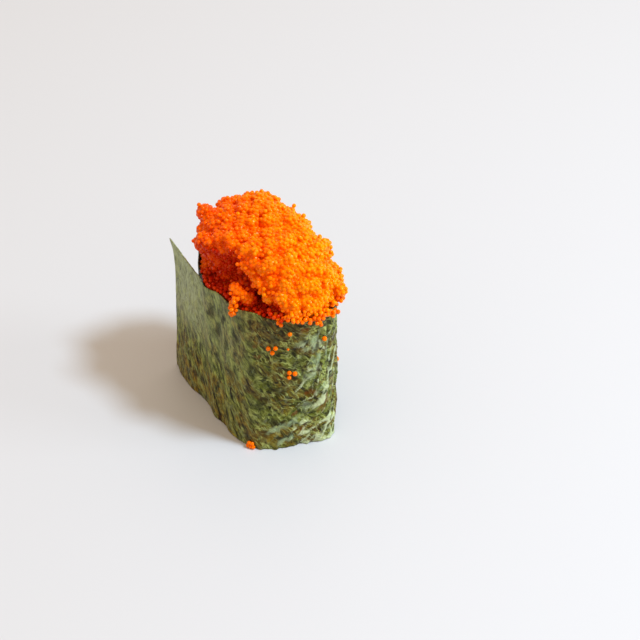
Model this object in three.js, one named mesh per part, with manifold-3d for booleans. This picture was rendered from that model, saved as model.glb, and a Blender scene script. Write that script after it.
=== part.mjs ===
// Gunkan sushi: a pressed bed of rice, a strip of nori wound round it about one and a half
// times, and a heap of small orange roe on top that stands over the rim of the nori.
// Millimetres, +Z up. The origin is the middle of the foot. +Y runs along the sushi to its
// far end, where the free end of the nori stands off the body, and +X is its right side.
// Angles are in degrees round the middle of the band, counterclockwise seen from above.
import * as THREE from 'three';
import { mergeVertices } from 'three/addons/utils/BufferGeometryUtils.js';
import Module from 'manifold-3d';

const wasm = await Module();
wasm.setup();

const DEG = Math.PI / 180;
const CLEARANCE = 0.3;

// The band of nori: an oval with a fuller, squarer near end.
const BAND_HEIGHT = 38;
const HALF_LENGTH = 20.4;
const HALF_WIDTH = 14.5;
const MIDDLE_X = -0.7;
const FAR_SQUARENESS = 2.15;
const NEAR_SQUARENESS = 2.6;
// How far the wall stands out of that oval at its foot and at its rim, by direction.
const WALL_SPREAD = 15;
const WALL_SWELLS = [
  { at: 0, foot: -0.4, rim: -0.7 },
  { at: 176, foot: 0.2, rim: 1.0 },
  { at: 188, foot: 0.45, rim: -1.75 },
  { at: 206, foot: -0.1, rim: -0.95 },
  { at: 224, foot: 0.7, rim: -2.15 },
  { at: 242, foot: 0.0, rim: -3.0 },
  { at: 262, foot: -1.3, rim: -0.5 },
  { at: 285, foot: 1.0, rim: 0.5 },
  { at: 308, foot: -1.4, rim: -0.6 },
];
// Low ripples run round the wall and turn a little from the foot to the rim.
const WALL_RIPPLE = 0.15;
const RIPPLES_ROUND = 14;
const RIPPLE_TWIST = 250;
const RIM_WAVE = 0.3;
const RIM_WAVES_ROUND = 3;
const RIM_WAVE_START = 40;

// The strip starts at its free end, runs flat along the left side, meets the oval, goes
// round once, tucks in under itself and ends inside the near right corner.
const NORI_THICKNESS = 0.5;
const LAP_STEP = 0.85;
const LAP_DROP = 0.5;
const FREE_END = 124;
const INNER_END = 675;
const TUCK_START = 450;
const TUCK_TURN = 90;
const INNER_END_GAP = 3;
const INNER_END_EASE = 6;
const MERGE_START = 150;
const MERGE_END = 172;
const FLAP_REACH = 14.7;
const FLAP_FOOT_LEAN = 0.15;
const FLAP_FOOT_BULGE = 1.1;
const FLAP_BULGE_AT = 141;
const FLAP_BULGE_SPREAD = 13;
const FLAP_HOLLOW = 0.2;
const FLAP_HOLLOW_SPREAD = 14;
// Only the top corner of the free end reaches out to the full length, as a thin tip.
const TIP_LENGTH = 2.3;
const TIP_HEIGHT = 2.5;
const TIP_ROOT = 9;
const TANGENT_STEP = 0.2;
const STRIP_STEPS = 66;
const STRIP_ROWS = 7;
const ROW_CROWDING = 1.5;

// The heap of roe, measured from a middle just above the rim.
const EGG = 1.05;
// Its few flat sides lie inside a round egg, so each solid is this much larger.
const EGG_FACETING = 1.1;
const HEAP_MIDDLE = 39;
const HEAP_RISE = 12.6;
const HEAP_DROP = 6;
const HEAP_SQUARENESS = 2.5;
// Lumps and dips of the heap: direction, tilt from straight up, reach and spread.
const HEAP_SWELLS = [
  { at: 215, tilt: 88, reach: 4.8, spread: 7 },
  { at: 311, tilt: 90, reach: 2.9, spread: 16 },
  { at: 322, tilt: 75, reach: -1.4, spread: 12.5 },
  { at: 337, tilt: 68, reach: 1.4, spread: 9 },
  { at: 350, tilt: 60, reach: -1.1, spread: 11.5 },
  { at: 114, tilt: 67, reach: 3.3, spread: 8.5 },
  { at: 150, tilt: 66, reach: 2.6, spread: 13 },
  { at: 128, tilt: 52, reach: -1.2, spread: 8 },
  { at: 62, tilt: 60, reach: 1.8, spread: 28 },
  { at: 42, tilt: 60, reach: -0.9, spread: 11.5 },
];
// Steep-sided hollows between the heap and the rim, on the near left.
const HEAP_HOLLOWS = [
  { at: 199, halfWidth: 50, tilt: 88, halfHeight: 42, depth: 5.4 },
  { at: 244, halfWidth: 15, tilt: 99, halfHeight: 19, depth: 2.6 },
];
const HOLLOW_STEEPNESS = 1.5;
// Lumps fade out at this squared share of their size, and lie round a mean height.
const LUMP_FADE = 0.8;
const LUMP_MEAN = 0.55;
const CLUMP_SIZE = 2.9;
const CLUMP_RELIEF = 1.1;
const MOUND_SIZE = 7.0;
const MOUND_RELIEF = 1.2;
const EGG_PEAK = 0.45;
const EGG_VALLEY = -0.16;
const EGG_PEAK_STRAY = 0.25;
const HEAP_DETAIL = 15;
// Most of the heap's faces lie above this tilt, where the heap shows.
const SHOWN_COSINE = -0.26;
const SHOWN_SHARE = 0.8;
// Past the rim the heap hangs over the wall by less than this, with its underside level.
const OVERHANG = 4;
const ROE_FLOOR = 37.2;
const ROE_BOTTOM = 24.3;

// Strings of eggs that run from the heap over the rim: the points each one follows, as a
// direction, a height and how far it stands out of the wall of the band.
const EGG_STRINGS = [
  { points: [[212, 37.3, -2.6], [212, 39.2, -2.5], [212.5, 41.2, -2.2]], count: 9, stray: 0.9 },
  { points: [[207, 41.0, -2.6], [213, 41.2, -2.2], [218, 40.7, -2.0]], count: 10, stray: 1.2 },
  { points: [[213.5, 40.2, -1.0], [214, 39.5, 0.5], [214.8, 37.0, 0.95]], count: 11, stray: 0.7 },
  { points: [[251, 38.6, -1.4], [252, 39.3, -0.4], [253.5, 37.4, 0.9]], count: 8, stray: 0.3 },
  { points: [[264, 39.2, 0.3], [276, 39.1, 0.8], [278, 37.2, 0.95]], count: 10, stray: 0.4 },
  { points: [[279, 39.0, 0.8], [286, 38.8, 0.9], [292, 37.6, 0.95]], count: 11, stray: 0.4 },
  { points: [[298, 39.1, 0.8], [306, 38.9, 1.0], [312, 38.7, 1.2]], count: 8, stray: 0.5 },
];
// Single eggs on the floor of the large hollow, and others on top of the heap.
const FLOOR_EGGS = 10;
const FLOOR_EGG_ANGLES = [172, 252];
const FLOOR_EGG_INWARD = [0.9, 4.5];
const FLOOR_EGG_LIFT = 0.1;
const PROUD_EGGS = 6;
const PROUD_EGG_TILTS = [10, 88];
const PROUD_EGG_REACH = 0.35;

// Single eggs that stick to the outside of the nori: direction and height.
const STRAY_EGGS = [
  [245.2, 30.1], [250.2, 30.7], [248.0, 29.2],
  [259.2, 23.4], [263.0, 22.9], [259.0, 22.0],
  [260.0, 35.1], [282.8, 31.7], [313.0, 16.4],
];
const FOOT_EGGS = [
  [229.6, 0.56], [231.4, 0.58], [233.4, 0.55], [230.4, 1.35], [232.6, 1.4],
];
// How far their middles stand out of the wall.
const STRAY_EGG_PROUD = 0.3;
const FOOT_EGG_PROUD = 0.4;

// The rice fills the band up to the roe. Its underside shows grains pressed flat.
const RICE_TOP = 24;
const RICE_FLOOR = 0.9;
const RICE_FOOT_SHARE = 0.86;
const RICE_FOOT_RISE = 1.6;
const GRAIN = { length: 6.2, width: 2.9, height: 2.5 };
const GRAIN_LIFT = 0.6;
const GRAIN_PITCH = 5.1;
const GRAIN_ROW_SHARE = 0.82;
const GRAIN_COLUMNS = 3;
const GRAIN_STRAY = 1.2;
const RICE_CLEARANCE = 0.5;
// What presses the rice flat underneath: only its top face matters.
const TABLE = { side: 60, depth: 6 };

// How finely the round shapes are faceted, and how near corners count as one.
const BED_SIDES = 44;
const RING_SIDES = 60;
const GRAIN_SIDES = [6, 3];
const WELD = 1e-4;

// A repeatable random draw between 0 and 1.
function drawer(seed) {
  let state = seed;
  return () => {
    state = (state * 16807) % 2147483647;
    return state / 2147483647;
  };
}

function smooth(x) {
  const k = Math.min(1, Math.max(0, x));
  return k * k * (3 - 2 * k);
}

function hill(distance, spread) {
  return Math.exp(-((distance / spread) ** 2));
}

function mix(a, b, share) {
  return a + (b - a) * share;
}

// The turn from one direction to another, between -180 and 180.
function turn(from, to) {
  return ((((to - from + 180) % 360) + 360) % 360) - 180;
}

// Outer face of the band, without the free end, measured from the middle of the band.
function bandRadius(angle, level) {
  const across = Math.abs(Math.cos(angle * DEG)) / HALF_WIDTH;
  const along = Math.abs(Math.sin(angle * DEG)) / HALF_LENGTH;
  const power = Math.sin(angle * DEG) > 0 ? FAR_SQUARENESS : NEAR_SQUARENESS;
  let radius = (across ** power + along ** power) ** (-1 / power);
  for (const swell of WALL_SWELLS) {
    radius += mix(swell.foot, swell.rim, level) * hill(turn(swell.at, angle), WALL_SPREAD);
  }
  const ripple = Math.sin((RIPPLES_ROUND * angle + RIPPLE_TWIST * level) * DEG);
  return radius + WALL_RIPPLE * ripple;
}

// The flat run of the free end, which stands off the oval to the far left.
function flapRadius(angle, level) {
  const bulge = FLAP_FOOT_BULGE * hill(angle - FLAP_BULGE_AT, FLAP_BULGE_SPREAD);
  const hollow = FLAP_HOLLOW * hill(angle - FREE_END, FLAP_HOLLOW_SPREAD);
  const reach =
    FLAP_REACH + (FLAP_FOOT_LEAN + bulge) * (1 - level) - hollow * Math.sin(Math.PI * level);
  return reach / Math.abs(Math.cos(angle * DEG));
}

// Outer face of the strip, with the angle counted on from the free end to the inner end.
function stripRadius(angle, level) {
  const tuck = LAP_STEP * smooth((angle - TUCK_START) / TUCK_TURN);
  const oval = bandRadius(angle, level) - tuck;
  if (angle >= MERGE_END) return oval;
  const merged = smooth((angle - MERGE_START) / (MERGE_END - MERGE_START));
  return mix(flapRadius(angle, level), oval, merged);
}

// Inner face of the band, which is two laps deep except on the right side.
function innerRadius(angle, level) {
  const azimuth = ((angle % 360) + 360) % 360;
  const laid = INNER_END - 360;
  const under = smooth((azimuth - (TUCK_START - 360)) / TUCK_TURN);
  const ended = smooth((azimuth - laid - INNER_END_GAP) / INNER_END_EASE);
  return bandRadius(angle, level) - NORI_THICKNESS - LAP_STEP * under * (1 - ended);
}

// The inner lap lies a little lower than the outer one.
function rimHeight(angle) {
  const wave = RIM_WAVE * Math.sin((RIM_WAVES_ROUND * angle + RIM_WAVE_START) * DEG);
  return BAND_HEIGHT + wave - LAP_DROP * smooth((angle - TUCK_START) / TUCK_TURN);
}

function onCircle(angle, radius, height) {
  return new THREE.Vector3(
    MIDDLE_X + radius * Math.cos(angle * DEG),
    radius * Math.sin(angle * DEG),
    height,
  );
}

// Distances along the strip, one for each step of the angle.
function measureStrip(step) {
  const marks = [{ angle: FREE_END, length: 0 }];
  for (let angle = FREE_END + step; angle <= INNER_END; angle += step) {
    const last = marks[marks.length - 1];
    const here = onCircle(angle, stripRadius(angle, 0.5), 0);
    const before = onCircle(last.angle, stripRadius(last.angle, 0.5), 0);
    marks.push({ angle, length: last.length + here.distanceTo(before) });
  }
  return marks;
}

const stripMarks = measureStrip(1);
const STRIP_LENGTH = stripMarks[stripMarks.length - 1].length;

function angleAt(length) {
  const last = stripMarks.length - 2;
  let i = stripMarks.findIndex((mark) => mark.length > length) - 1;
  if (i < 0) i = length <= 0 ? 0 : last;
  const a = stripMarks[i];
  const b = stripMarks[i + 1];
  return mix(a.angle, b.angle, (length - a.length) / (b.length - a.length));
}

// A point of the strip's outer face, a length from the free end and a level up.
function stripPoint(length, level) {
  const fromRim = (1 - level) * BAND_HEIGHT;
  const cutBack = TIP_LENGTH * (1 - Math.exp(-fromRim / TIP_HEIGHT));
  const shifted = length + cutBack * Math.max(0, 1 - length / TIP_ROOT);
  const angle = angleAt(shifted);
  return onCircle(angle, stripRadius(angle, level), level * rimHeight(angle));
}

// A closed solid from a geometry, with only its corners kept.
function solid(geometry) {
  const bare = geometry.clone();
  bare.deleteAttribute('normal');
  bare.deleteAttribute('uv');
  const welded = mergeVertices(bare, WELD);
  return new wasm.Manifold(
    new wasm.Mesh({
      numProp: 3,
      vertProperties: Float32Array.from(welded.attributes.position.array),
      triVerts: Uint32Array.from(welded.index.array),
    }),
  );
}

function reshape(geometry, move) {
  const place = geometry.attributes.position;
  const point = new THREE.Vector3();
  for (let i = 0; i < place.count; i += 1) {
    point.fromBufferAttribute(place, i);
    const moved = move(point);
    place.setXYZ(i, moved.x, moved.y, moved.z);
  }
  return geometry;
}

// A lathe whose profile radius is read as a share of the room inside the band.
function insideBand(profile, gap) {
  const points = profile.map(([share, height]) => new THREE.Vector2(share, height));
  const lathe = new THREE.LatheGeometry(points, BED_SIDES);
  return reshape(lathe, ({ x, y, z }) => {
    const share = Math.hypot(x, z);
    const angle = Math.atan2(x, z) / DEG;
    const radius = share * (innerRadius(angle, y / BAND_HEIGHT) - gap);
    return onCircle(angle, radius, y);
  });
}

// A ring round the rim that the roe keeps out of, so that it stays clear of the nori. It
// reaches out of the wall by the given amount.
function rimRing(reach) {
  const low = ROE_BOTTOM - 2;
  const high = BAND_HEIGHT + RIM_WAVE + CLEARANCE;
  const inner = HALF_WIDTH / 2;
  const outer = HALF_WIDTH;
  const corners = [[inner, low], [outer, low], [outer, high], [inner, high], [inner, low]];
  const points = corners.map(([side, height]) => new THREE.Vector2(side, height));
  const lathe = new THREE.LatheGeometry(points, RING_SIDES);
  return reshape(lathe, ({ x, y, z }) => {
    const angle = Math.atan2(x, z) / DEG;
    const level = Math.min(1, y / BAND_HEIGHT);
    const outside = Math.hypot(x, z) > (inner + outer) / 2;
    const radius = outside
      ? bandRadius(angle, level) + reach
      : innerRadius(angle, level) - CLEARANCE;
    return onCircle(angle, radius, y);
  });
}

function eggAt(center, random) {
  const egg = new THREE.IcosahedronGeometry((EGG / 2) * EGG_FACETING, 0);
  egg.rotateX(random() * Math.PI).rotateY(random() * Math.PI);
  return solid(egg.translate(center.x, center.y, center.z));
}

// Where an egg sits that stands out of the wall of the band by a given amount.
function besideWall(angle, height, proud) {
  return onCircle(angle, bandRadius(angle, Math.min(1, height / BAND_HEIGHT)) + proud, height);
}

function makeNori() {
  const strip = new THREE.BoxGeometry(
    STRIP_LENGTH, BAND_HEIGHT, NORI_THICKNESS, STRIP_STEPS, STRIP_ROWS, 1);
  splitLikeFront(strip);
  reshape(strip, ({ x, y, z }) => {
    const length = x + STRIP_LENGTH / 2;
    const level = 1 - (0.5 - y / BAND_HEIGHT) ** ROW_CROWDING;
    const before = stripPoint(length - TANGENT_STEP, level);
    const after = stripPoint(length + TANGENT_STEP, level);
    const outward = new THREE.Vector3(after.y - before.y, before.x - after.x, 0).normalize();
    return stripPoint(length, level).addScaledVector(outward, z - NORI_THICKNESS / 2);
  });
  const random = drawer(11);
  let nori = solid(strip);
  for (const [angle, height] of STRAY_EGGS) {
    nori = nori.add(eggAt(besideWall(angle, height, STRAY_EGG_PROUD), random));
  }
  for (const [angle, height] of FOOT_EGGS) {
    nori = nori.add(eggAt(besideWall(angle, height, FOOT_EGG_PROUD), random));
  }
  return nori;
}

// Turns the diagonals on a box's back, so that they lie as the ones on its front do.
function splitLikeFront(box) {
  const back = box.groups[5];
  const index = box.index;
  for (let i = back.start; i < back.start + back.count; i += 6) {
    const [a, b, d, c] = [0, 1, 2, 4].map((k) => index.getX(i + k));
    [a, b, c, a, c, d].forEach((corner, k) => index.setX(i + k, corner));
  }
}

// A fixed scatter: the same whole numbers always give the same value between 0 and 1.
function scatter(i, j, k) {
  const value = Math.sin(i * 127.1 + j * 311.7 + k * 74.7) * 43758.5453;
  return value - Math.floor(value);
}

// Rounded lumps of one size that fill space: 1 in the middle of a lump, 0 between them.
function lumps(point, size) {
  const [x, y, z] = [point.x / size, point.y / size, point.z / size];
  let nearest = 9;
  for (let i = Math.floor(x) - 1; i <= Math.floor(x) + 1; i += 1) {
    for (let j = Math.floor(y) - 1; j <= Math.floor(y) + 1; j += 1) {
      for (let k = Math.floor(z) - 1; k <= Math.floor(z) + 1; k += 1) {
        const dx = i + scatter(i, j, k) - x;
        const dy = j + scatter(i + 19, j, k) - y;
        const dz = k + scatter(i, j + 47, k) - z;
        nearest = Math.min(nearest, dx * dx + dy * dy + dz * dz);
      }
    }
  }
  return Math.max(0, 1 - nearest / LUMP_FADE);
}

function direction(angle, tilt) {
  const flat = Math.sin(tilt * DEG);
  return new THREE.Vector3(
    flat * Math.cos(angle * DEG), flat * Math.sin(angle * DEG), Math.cos(tilt * DEG));
}

// The heap's smooth surface in a direction from its middle.
function heapPoint(toward) {
  const angle = Math.atan2(toward.y, toward.x) / DEG;
  const flat = Math.hypot(toward.x, toward.y);
  const height = toward.z > 0 ? HEAP_RISE : HEAP_DROP;
  const side = bandRadius(angle, 1);
  const power = HEAP_SQUARENESS;
  let radius =
    (Math.abs(toward.z / height) ** power + (flat / side) ** power) ** (-1 / power);
  for (const swell of HEAP_SWELLS) {
    const apart = toward.angleTo(direction(swell.at, swell.tilt)) / DEG;
    radius += swell.reach * hill(apart, swell.spread);
  }
  for (const hollow of HEAP_HOLLOWS) {
    const aside = turn(hollow.at, angle) / hollow.halfWidth;
    const above = (Math.acos(toward.z) / DEG - hollow.tilt) / hollow.halfHeight;
    radius -= hollow.depth * hill((aside ** 2 + above ** 2) ** HOLLOW_STEEPNESS, 1);
  }
  const smoothPoint = toward.clone().multiplyScalar(radius);
  const clumps = CLUMP_RELIEF * (lumps(smoothPoint, CLUMP_SIZE) - LUMP_MEAN);
  const mounds = MOUND_RELIEF * (lumps(smoothPoint, MOUND_SIZE) - LUMP_MEAN);
  smoothPoint.addScaledVector(toward, clumps + mounds);
  return smoothPoint.add(new THREE.Vector3(MIDDLE_X, 0, HEAP_MIDDLE));
}

// Directions spread over the heap, most of them where it shows.
function spreadDirection(toward) {
  const share = (1 - toward.z) / 2;
  const down =
    share < SHOWN_SHARE
      ? mix(1, SHOWN_COSINE, share / SHOWN_SHARE)
      : mix(SHOWN_COSINE, -1, (share - SHOWN_SHARE) / (1 - SHOWN_SHARE));
  const flat = Math.sqrt(Math.max(0, 1 - down * down));
  const angle = Math.atan2(toward.y, toward.x);
  return new THREE.Vector3(
    flat * Math.cos(angle) * Math.sqrt(HALF_WIDTH),
    flat * Math.sin(angle) * Math.sqrt(HALF_LENGTH),
    down * Math.sqrt(HEAP_RISE),
  ).normalize();
}

// Corners no two of which share an edge: each becomes the peak of one egg.
function pickPeaks(geometry) {
  const count = geometry.attributes.position.count;
  const beside = Array.from({ length: count }, () => []);
  const index = geometry.index.array;
  for (let i = 0; i < index.length; i += 3) {
    for (let k = 0; k < 3; k += 1) {
      beside[index[i + k]].push(index[i + ((k + 1) % 3)]);
    }
  }
  const peaks = new Array(count).fill(false);
  for (let i = 0; i < count; i += 1) {
    peaks[i] = !beside[i].some((other) => peaks[other]);
  }
  return peaks;
}

function makeHeap(random) {
  const round = new THREE.IcosahedronGeometry(1, HEAP_DETAIL);
  round.deleteAttribute('normal');
  round.deleteAttribute('uv');
  const ball = mergeVertices(round, WELD);
  const peaks = pickPeaks(ball);
  let corner = -1;
  return reshape(ball, (toward) => {
    corner += 1;
    const spread = spreadDirection(toward);
    const bump = peaks[corner] ? EGG_PEAK + EGG_PEAK_STRAY * (random() - 0.5) : EGG_VALLEY;
    return heapPoint(spread).addScaledVector(spread, bump);
  });
}

// The eggs of one string, spread along it with a little stray to all sides.
function stringEggs({ points, count, stray }, random) {
  const places = points.map((point) => besideWall(...point));
  const route = new THREE.CurvePath();
  for (let i = 1; i < places.length; i += 1) {
    route.add(new THREE.LineCurve3(places[i - 1], places[i]));
  }
  return route.getSpacedPoints(count - 1).map((center) => {
    const aside = new THREE.Vector3(random() - 0.5, random() - 0.5, random() - 0.5);
    return eggAt(center.clone().addScaledVector(aside, stray), random);
  });
}

function makeRoe() {
  const random = drawer(2024);
  const fill = insideBand(
    [[0, ROE_BOTTOM], [1, ROE_BOTTOM], [1, ROE_FLOOR], [0, ROE_FLOOR]], CLEARANCE);
  const eggs = EGG_STRINGS.flatMap((string) => stringEggs(string, random));
  for (let i = 0; i < FLOOR_EGGS; i += 1) {
    const angle = mix(...FLOOR_EGG_ANGLES, random());
    const radius = innerRadius(angle, 1) - mix(...FLOOR_EGG_INWARD, random());
    eggs.push(eggAt(onCircle(angle, radius, ROE_FLOOR + FLOOR_EGG_LIFT), random));
  }
  for (let i = 0; i < PROUD_EGGS; i += 1) {
    const toward = direction(360 * random(), mix(...PROUD_EGG_TILTS, random()));
    eggs.push(eggAt(heapPoint(toward).addScaledVector(toward, PROUD_EGG_REACH), random));
  }
  const heap = solid(makeHeap(random)).add(solid(fill)).subtract(solid(rimRing(OVERHANG)));
  const eggHeap = heap.add(wasm.Manifold.union(eggs));
  return eggHeap.subtract(solid(rimRing(CLEARANCE)));
}

function makeRice() {
  const random = drawer(77);
  const profile = [
    [0, RICE_FLOOR], [RICE_FOOT_SHARE, RICE_FLOOR], [1, RICE_FLOOR + RICE_FOOT_RISE],
    [1, RICE_TOP], [0, RICE_TOP],
  ];
  const bed = insideBand(profile, RICE_CLEARANCE);
  const grains = [];
  const rows = Math.floor(HALF_LENGTH / GRAIN_PITCH);
  for (let row = -rows; row <= rows; row += 1) {
    const y = row * GRAIN_PITCH * GRAIN_ROW_SHARE;
    for (let column = -GRAIN_COLUMNS; column <= GRAIN_COLUMNS; column += 1) {
      const x = (column + (row % 2) / 2) * GRAIN_PITCH;
      const room = innerRadius(Math.atan2(y, x) / DEG, 0) - GRAIN.length / 2;
      if (Math.hypot(x, y) > room) continue;
      const grain = new THREE.SphereGeometry(0.5, ...GRAIN_SIDES);
      grain.scale(GRAIN.width, GRAIN.length, GRAIN.height);
      grain.rotateZ(random() * Math.PI);
      const stray = row === 0 && column === 0 ? 0 : GRAIN_STRAY;
      grain.translate(
        MIDDLE_X + x + stray * (random() - 0.5), y + stray * (random() - 0.5), GRAIN_LIFT);
      grains.push(solid(grain));
    }
  }
  const table = new THREE.BoxGeometry(TABLE.side, TABLE.side, TABLE.depth);
  table.translate(0, 0, -TABLE.depth / 2);
  return solid(bed).add(wasm.Manifold.union(grains)).subtract(solid(table));
}

// The faces of a shape's outer skin, without loose scraps and the skins of shut hollows.
function outerSkin(triVerts, corners) {
  const group = Array.from({ length: corners }, (_, i) => i);
  const rootOf = (i) => {
    let root = i;
    while (group[root] !== root) root = group[root];
    group[i] = root;
    return root;
  };
  for (let i = 0; i < triVerts.length; i += 3) {
    group[rootOf(triVerts[i + 1])] = rootOf(triVerts[i]);
    group[rootOf(triVerts[i + 2])] = rootOf(triVerts[i]);
  }
  const faces = new Map();
  for (let i = 0; i < triVerts.length; i += 3) {
    const root = rootOf(triVerts[i]);
    if (!faces.has(root)) faces.set(root, []);
    faces.get(root).push(triVerts[i], triVerts[i + 1], triVerts[i + 2]);
  }
  return [...faces.values()].sort((a, b) => b.length - a.length)[0];
}

function meshOf(shape, name, look) {
  const { vertProperties, triVerts } = shape.getMesh();
  const geometry = new THREE.BufferGeometry();
  geometry.setAttribute('position', new THREE.BufferAttribute(vertProperties, 3));
  geometry.setIndex(outerSkin(triVerts, vertProperties.length / 3));
  geometry.computeVertexNormals();
  const mesh = new THREE.Mesh(geometry, new THREE.MeshStandardMaterial(look));
  mesh.name = name;
  return mesh;
}

const gunkan = new THREE.Group();
gunkan.add(
  meshOf(makeNori(), 'nori', { color: 0x46502f, roughness: 0.5, metalness: 0 }),
  meshOf(makeRoe(), 'roe', { color: 0xff6a08, roughness: 0.25, metalness: 0 }),
  meshOf(makeRice(), 'rice', { color: 0xf1ede2, roughness: 0.45, metalness: 0 }),
);

export default gunkan;
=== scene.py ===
"""Gunkan sushi: nori wound round a bed of rice, with a heap of small roe on top.

Lengths are millimetres and angles degrees until a piece is made, which turns them to
metres. The origin is the middle of the foot, +Z is up, +Y runs along the sushi to its far
end, where the free end of the nori stands off the body, and +X is its right side. Angles
go round the middle of the band, counterclockwise seen from above. A level is 0 at the
foot of the band and 1 at its rim. Proud means out of the wall of the band.
"""
import math

import bmesh
import bpy
import numpy as np
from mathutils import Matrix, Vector, kdtree, noise


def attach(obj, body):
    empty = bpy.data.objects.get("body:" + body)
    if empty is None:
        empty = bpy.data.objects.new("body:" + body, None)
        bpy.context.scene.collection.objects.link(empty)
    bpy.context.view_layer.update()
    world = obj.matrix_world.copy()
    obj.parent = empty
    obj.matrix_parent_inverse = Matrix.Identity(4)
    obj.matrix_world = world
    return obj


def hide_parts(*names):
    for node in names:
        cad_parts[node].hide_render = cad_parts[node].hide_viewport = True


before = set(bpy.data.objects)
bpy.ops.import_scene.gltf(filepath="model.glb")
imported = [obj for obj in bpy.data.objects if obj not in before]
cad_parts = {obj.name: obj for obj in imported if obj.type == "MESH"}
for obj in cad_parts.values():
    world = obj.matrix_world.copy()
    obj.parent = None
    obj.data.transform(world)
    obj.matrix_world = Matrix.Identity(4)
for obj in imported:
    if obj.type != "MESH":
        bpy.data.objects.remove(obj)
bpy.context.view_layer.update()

MM = 0.001
DEG = math.pi / 180

# The band of nori: an oval with a fuller, squarer near end.
BAND_HEIGHT = 38.0
HALF_LENGTH = 20.4
HALF_WIDTH = 14.5
MIDDLE = np.array([-0.7, 0.0, 0.0])
FAR_SQUARENESS = 2.15
NEAR_SQUARENESS = 2.6
# How far the wall stands out of that oval, by direction: at the foot and at the rim.
WALL_SWELLS = {
    0: (-0.4, -0.7), 176: (0.2, 1.0), 188: (0.45, -1.75), 206: (-0.1, -0.95),
    224: (0.7, -2.15), 242: (0.0, -3.0), 262: (-1.3, -0.5), 285: (1.0, 0.5),
    308: (-1.4, -0.6),
}
WALL_SPREAD = 15.0
# Ripples round the wall, which turn by the twist from the foot to the rim.
WALL_RIPPLE = 0.15
RIPPLES_ROUND = 14
RIPPLE_TWIST = 250
# The rim goes up and down a little.
RIM_WAVE = 0.3
RIM_WAVES_ROUND = 3
RIM_WAVE_START = 40

# The strip starts at its free end, runs flat along the left side, meets the oval, goes
# round once, tucks in under itself and ends inside the near right corner.
FREE_END = 124
MERGE_START = 150
MERGE_END = 172
TUCK_START = 450
TUCK_TURN = 90
INNER_END = 675
INNER_END_GAP = 3
INNER_END_EASE = 6
# How far in the inner lap lies, how deep one lap is, and how much lower the inner rim is.
LAP_STEP = 0.5
LAP_DEPTH = 0.4
LAP_DROP = 0.7
# The flat run stands this far from the middle. Its foot bulges out and its end bows in.
FLAP_REACH = 14.7
FLAP_FOOT_LEAN = 0.15
FLAP_FOOT_BULGE = 1.1
FLAP_BULGE_AT = 141
FLAP_BULGE_SPREAD = 13
FLAP_HOLLOW = 0.2
FLAP_HOLLOW_SPREAD = 14
# Its edge is cut back below its top corner, which leaves a tip.
TIP_LENGTH = 2.3
TIP_HEIGHT = 2.5
TIP_ROOT = 9.0

# The sheet: its thickness, how far in its face lies, and its cells along and up.
SHEET = 0.26
SHEET_INSET = 0.12
SHEET_CELLS = (440, 96)
# Relief of the sheet, as rows of: depth, reach along and up, and seed.
DIMPLES = [(0.30, 9, 9, 3.1), (0.12, 3.2, 4.5, 8.7)]
FIBRES = [(0.05, 0.9, 1.6, 5.5)]
CREASE_BENDS = [(0.8, 5, 5, 2.2)]
FRAYED_RIM = [(0.16, 0.7, 1, 31.0), (0.22, 3.1, 1, 37.0)]
FRAYED_FOOT = [(1, 1.3, 1, 43.0)]
FOOT_FRAY = 0.12
FRAY_POWER = 8
# Winding crests, as rows of: height, reach along and across, seed, and width.
CREASES = [(1, 8, 2.4, 12.4, 0.34), (0.5, 3.5, 1.3, 15.9, 0.32)]
VALLEYS = [(1, 8, 2.4, 54.6, 0.34)]
UPRIGHT_FOLDS = [(1, 3.0, 14, 21.3, 0.22)]
# The near face's creases lean more towards its top and right corner: from where, over how
# much. They are laid out from a direction and a height.
CREASE_LEANS = (40, 76)
LEAN_ROUND = (266, 16)
LEAN_UP = (6, 14)
CREASE_ORIGIN = (275, 18)
CREASE_DEPTH = 0.6
VALLEY_DEPTH = 0.3
# Upright folds all round, deeper ones by that corner, and one long fold down it.
FOLD_DEPTH = 0.06
CORNER_FOLD_DEPTH = 0.12
FOLDED_CORNER = 287
FOLDED_SPREAD = 9
LONG_FOLD_AT = 287.5
LONG_FOLD_WIDTH = 1.3
LONG_FOLD_DEPTH = 0.4
# Patches of the near and left faces: direction, height, reach along and across, and lean.
RUST_PATCHES = [
    (274, 16, 2.0, 0.7, 25), (280, 18.5, 1.2, 0.6, 45), (285, 14, 2.2, 0.9, 60),
    (281, 10.7, 2.4, 1.0, 50), (267, 4.7, 1.8, 0.9, 45), (263, 10, 0.9, 0.7, 20),
    (271, 35.7, 1.2, 0.8, 0), (237, 26.2, 0.9, 1.1, 90), (234.5, 29, 0.6, 0.6, 0),
]
# Wet patches on the near face that paint a pale sheen, and are glossier too.
WET_SHEEN_PATCHES = [
    (275.5, 31.5, 2.8, 1.2, 95), (277.5, 26, 2.2, 1.1, 75), (273, 21.5, 2.0, 1.2, 30),
    (267, 31.5, 0.9, 0.8, 0), (271, 29.5, 1.2, 0.8, 20), (271, 12, 1.6, 1.1, 30),
    (248.5, 5.7, 2.2, 1.1, 20), (263, 8, 2.4, 0.7, 40), (281.5, 17, 1.8, 0.5, 50),
    (275.5, 23.5, 1.4, 0.6, 40), (286.5, 27.5, 2.2, 0.5, 85), (256, 2.5, 2.2, 0.9, 25),
]
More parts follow.
